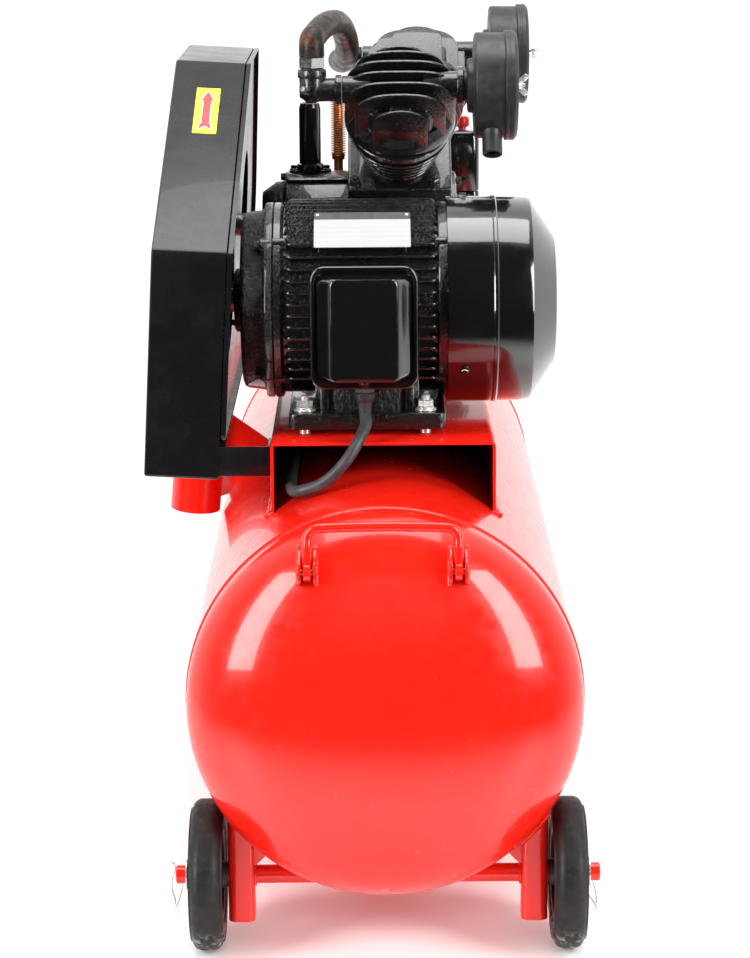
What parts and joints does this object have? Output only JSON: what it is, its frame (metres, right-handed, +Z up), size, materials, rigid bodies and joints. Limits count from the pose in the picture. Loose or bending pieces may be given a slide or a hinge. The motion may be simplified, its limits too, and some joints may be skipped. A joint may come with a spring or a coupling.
{
  "type": "air compressor",
  "caption": "Wheeled horizontal receiver with an electric motor, guarded belt drive and V-shaped piston pump on a bridge over it.",
  "frame": {"origin": "bottom centre of the whole machine's box, at floor level", "axes": "+Z up, +Y along the receiver from the motor end to the far end, +X across towards the motor's fan"},
  "size_m": [0.5224, 1.4, 1.0235],
  "materials": {
    "red_paint": "bright red gloss enamel with weld beads and orange peel",
    "black_paint": "black gloss paint",
    "cast_black": "black gloss paint over rough casting",
    "sheet_black": "black satin-gloss powder coat on folded sheet",
    "grey_plastic": "matte dark grey moulded plastic",
    "hub_plastic": "matte black moulded plastic",
    "zinc": "bright zinc plating",
    "steel": "machined steel",
    "piston_alloy": "turned alloy",
    "brass": "plain brass",
    "copper": "bare copper",
    "heat_stained_steel": "black painted steel pipe browned by heat",
    "cable_rubber": "dark grey rubber",
    "tyre_rubber": "dusty black solid rubber",
    "red_plastic": "red plastic"
  },
  "bodies": {
    "chassis": {"tank_shell": "red_paint", "motor_bridge": "red_paint", "guard_post": "red_paint", "handle_lug_left": "red_paint", "handle_lug_right": "red_paint", "guard_cover": "sheet_black", "guard_plate": "sheet_black", "motor_frame": "cast_black", "motor_endshield": "cast_black", "fan_cowl": "black_paint", "terminal_box": "black_paint", "terminal_lid": "black_paint", "cable_gland": "grey_plastic", "motor_cable": "cable_rubber", "drive_belt": "cable_rubber", "crankcase": "cast_black", "cylinder_front": "cast_black", "cylinder_rear": "cast_black", "head_front": "cast_black", "head_rear": "cast_black", "filter_front": "grey_plastic", "filter_rear": "grey_plastic", "discharge_elbow": "cast_black", "discharge_tube": "heat_stained_steel", "cooler_tube": "copper", "breather": "black_paint", "outlet_manifold": "brass", "pressure_switch": "black_paint", "safety_valve": "brass", "drain_valve": "brass", "leg_front_left": "red_paint", "motor_bolt_front_left": "zinc", "leg_front_right": "red_paint", "motor_bolt_front_right": "zinc", "leg_rear_left": "red_paint", "motor_bolt_rear_left": "zinc", "leg_rear_right": "red_paint", "motor_bolt_rear_right": "zinc"},
    "handle_bail": {"handle": "red_paint"},
    "crank": {"flywheel": "cast_black", "crankshaft": "steel"},
    "rotor": {"motor_rotor": "steel", "motor_fan": "grey_plastic", "motor_pulley": "cast_black"},
    "front_piston": {"piston_front": "piston_alloy"},
    "rear_piston": {"piston_rear": "piston_alloy"},
    "knob": {"switch_knob": "red_plastic"},
    "relief_ring": {"safety_ring": "zinc"},
    "valve_lever": {"outlet_lever": "red_plastic"},
    "drain_wing": {"drain_key": "brass"},
    "wheel_front_left": {"tyre_front_left": "tyre_rubber", "wheel_hub_front_left": "hub_plastic"},
    "wheel_front_right": {"tyre_front_right": "tyre_rubber", "wheel_hub_front_right": "hub_plastic"},
    "wheel_rear_left": {"tyre_rear_left": "tyre_rubber", "wheel_hub_rear_left": "hub_plastic"},
    "wheel_rear_right": {"tyre_rear_right": "tyre_rubber", "wheel_hub_rear_right": "hub_plastic"}
  },
  "joints": [
    {"name": "wheel_front_left_spin", "type": "hinge", "parent": "chassis", "child": "wheel_front_left", "pos_m": [-0.18231, -0.58, 0.0855], "axis": [1, 0, 0], "continuous": true},
    {"name": "wheel_front_right_spin", "type": "hinge", "parent": "chassis", "child": "wheel_front_right", "pos_m": [0.22469, -0.58, 0.0855], "axis": [1, 0, 0], "continuous": true},
    {"name": "wheel_rear_left_spin", "type": "hinge", "parent": "chassis", "child": "wheel_rear_left", "pos_m": [-0.18231, 0.58, 0.0855], "axis": [1, 0, 0], "continuous": true},
    {"name": "wheel_rear_right_spin", "type": "hinge", "parent": "chassis", "child": "wheel_rear_right", "pos_m": [0.22469, 0.58, 0.0855], "axis": [1, 0, 0], "continuous": true},
    {"name": "handle_fold", "type": "hinge", "parent": "chassis", "child": "handle_bail", "pos_m": [0.01719, -0.667, 0.462], "axis": [1, 0, 0], "range_deg": [0, 130]},
    {"name": "crank_spin", "type": "hinge", "parent": "chassis", "child": "crank", "pos_m": [0.01919, 0, 0.745], "axis": [1, 0, 0], "continuous": true},
    {"name": "rotor_spin", "type": "hinge", "parent": "chassis", "child": "rotor", "pos_m": [0.01919, -0.3, 0.697], "axis": [1, 0, 0], "continuous": true},
    {"name": "front_piston_slide", "type": "slide", "parent": "chassis", "child": "front_piston", "axis": [0, -0.7071, 0.7071], "range_m": [-0.0225, 0.0225]},
    {"name": "rear_piston_slide", "type": "slide", "parent": "chassis", "child": "rear_piston", "axis": [0, 0.7071, 0.7071], "range_m": [-0.0225, 0.0225]},
    {"name": "switch_pull", "type": "slide", "parent": "chassis", "child": "knob", "axis": [0, 0, 1], "range_m": [0, 0.006]},
    {"name": "relief_pull", "type": "slide", "parent": "chassis", "child": "relief_ring", "axis": [0, 0, 1], "range_m": [0, 0.004], "stiffness_N_per_m": 400},
    {"name": "valve_turn", "type": "hinge", "parent": "chassis", "child": "valve_lever", "pos_m": [0.10319, 0.366, 0.62], "axis": [0, 0, 1], "range_deg": [0, 90]},
    {"name": "drain_turn", "type": "hinge", "parent": "chassis", "child": "drain_wing", "pos_m": [0.01919, 0, 0.0417], "axis": [0, 0, 1], "range_deg": [0, 90]}
  ],
  "couplings": [
    {"joint": "rotor_spin", "follows": "crank_spin", "ratio": 3.555}
  ]
}
